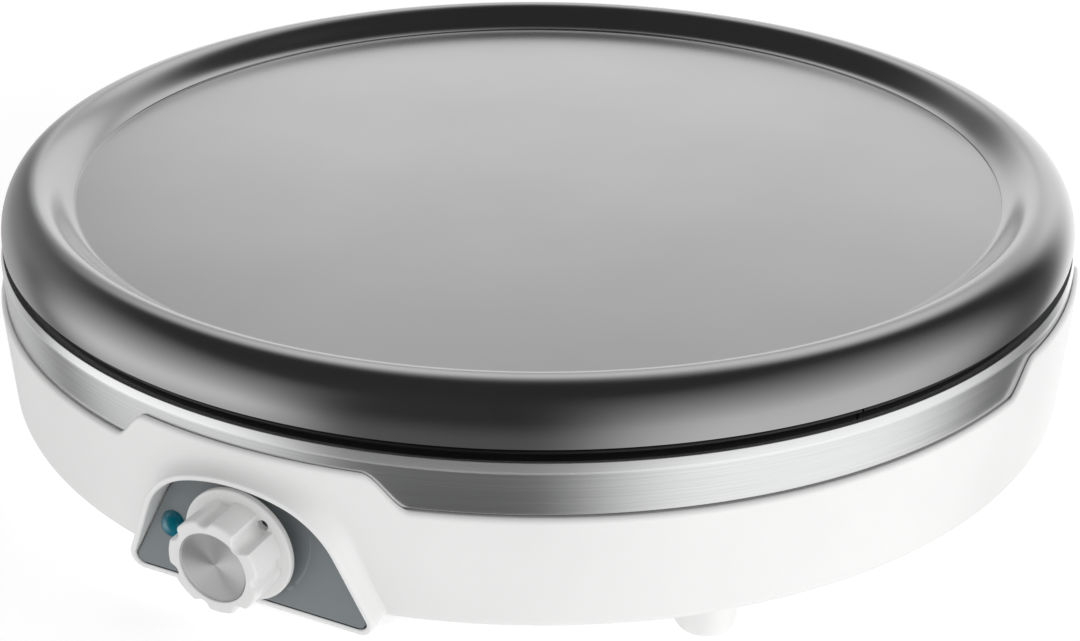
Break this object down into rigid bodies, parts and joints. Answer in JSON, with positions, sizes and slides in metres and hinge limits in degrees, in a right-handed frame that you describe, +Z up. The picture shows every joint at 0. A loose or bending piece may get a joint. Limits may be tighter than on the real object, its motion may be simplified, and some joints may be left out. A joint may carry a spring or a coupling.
{
  "type": "electric crepe maker",
  "caption": "Countertop electric crepe maker: a round rimmed cast cooking plate on a white moulded base with a steel trim band, a thermostat knob, an indicator and short feet.",
  "frame": {"origin": "on the table under the cooking plate's vertical axis", "axes": "+Z up; -Y the way the control knob faces; +Y towards the cord inlet; +X to the right seen from the front"},
  "size_m": [0.406, 0.4372, 0.0904],
  "materials": {
    "cast_plate": "cast aluminium with a smooth satin non-stick cooking surface",
    "housing_white": "smooth white moulded heat-resistant plastic, light gloss",
    "knob_white": "smooth white moulded plastic, light gloss",
    "trim_steel": "brushed sheet steel band with a rolled bright top edge",
    "ring_black": "matte black heat-resistant moulding",
    "fascia_grey": "fine satin grey",
    "cap_metal": "spun face with circular brushing",
    "lens_teal": "tinted translucent plastic lens",
    "pad_rubber": "matte rubber",
    "base_sheet": "plain zinc-plated sheet",
    "reflector": "bright sheet",
    "element_steel": "heat-darkened steel sheath",
    "pillar_steel": "zinc-plated",
    "fastener_steel": "zinc-plated",
    "sheet_steel": "zinc-plated pressed sheet",
    "brass_leaf": "bare pressed brass",
    "bulb_copper": "drawn copper",
    "ceramic": "unglazed steatite ceramic",
    "lamp_glass": "clear glass neon lamp",
    "switch_body": "dark thermoset moulding",
    "gland_black": "matte black nylon",
    "lead_brown": "silicone-insulated wire",
    "lead_black": "silicone-insulated wire",
    "lead_blue": "silicone-insulated wire",
    "lead_green": "silicone-insulated wire, green and yellow"
  },
  "bodies": {
    "base": {"cooking_plate": "cast_plate", "plate_studs": "fastener_steel", "heating_element": "element_steel", "element_seals": "ceramic", "element_tabs": "fastener_steel", "element_clamps": "sheet_steel", "clamp_screws": "fastener_steel", "reflector_spacers": "fastener_steel", "heat_reflector": "reflector", "support_pillars": "pillar_steel", "pillar_screws": "fastener_steel", "insulating_ring": "ring_black", "trim_band": "trim_steel", "base_housing": "housing_white", "base_plate": "base_sheet", "base_plate_screws": "fastener_steel", "feet": "housing_white", "foot_screws": "fastener_steel", "foot_pads": "pad_rubber", "fascia": "fascia_grey", "thermostat_body": "switch_body", "thermostat_nut": "fastener_steel", "contact_leaf": "brass_leaf", "thermostat_tabs": "brass_leaf", "thermostat_bracket": "sheet_steel", "bracket_screws": "fastener_steel", "thermostat_bulb": "bulb_copper", "bulb_clip": "sheet_steel", "thermal_fuse": "ceramic", "fuse_clip": "sheet_steel", "clip_screws": "fastener_steel", "indicator_lens": "lens_teal", "indicator_lamp": "lamp_glass", "terminal_block": "ceramic", "terminal_screws": "fastener_steel", "earth_tag": "brass_leaf", "earth_screw": "fastener_steel", "earth_nut": "fastener_steel", "push_on_terminals": "brass_leaf", "live_lead": "lead_brown", "switched_lead": "lead_black", "neutral_lead": "lead_blue", "earth_lead": "lead_green", "lamp_leads": "lead_black", "cord_gland": "gland_black", "gland_nut": "gland_black"},
    "knob": {"control_knob": "knob_white", "knob_cap": "cap_metal", "knob_clip": "fastener_steel", "thermostat_spindle": "fastener_steel"},
    "pin": {"thermostat_pin": "ceramic"}
  },
  "joints": [
    {"name": "knob_turn", "type": "hinge", "parent": "base", "child": "knob", "pos_m": [0, -0.207, 0.0317], "axis": [0, 1, 0], "range_deg": [-44.4, 195.6]},
    {"name": "pin_slide", "type": "slide", "parent": "base", "child": "pin", "axis": [0, 1, 0], "range_m": [-0.00013, 0.00055]}
  ],
  "couplings": [
    {"joint": "pin_slide", "follows": "knob_turn", "m_per_rad": 0.00015915}
  ]
}
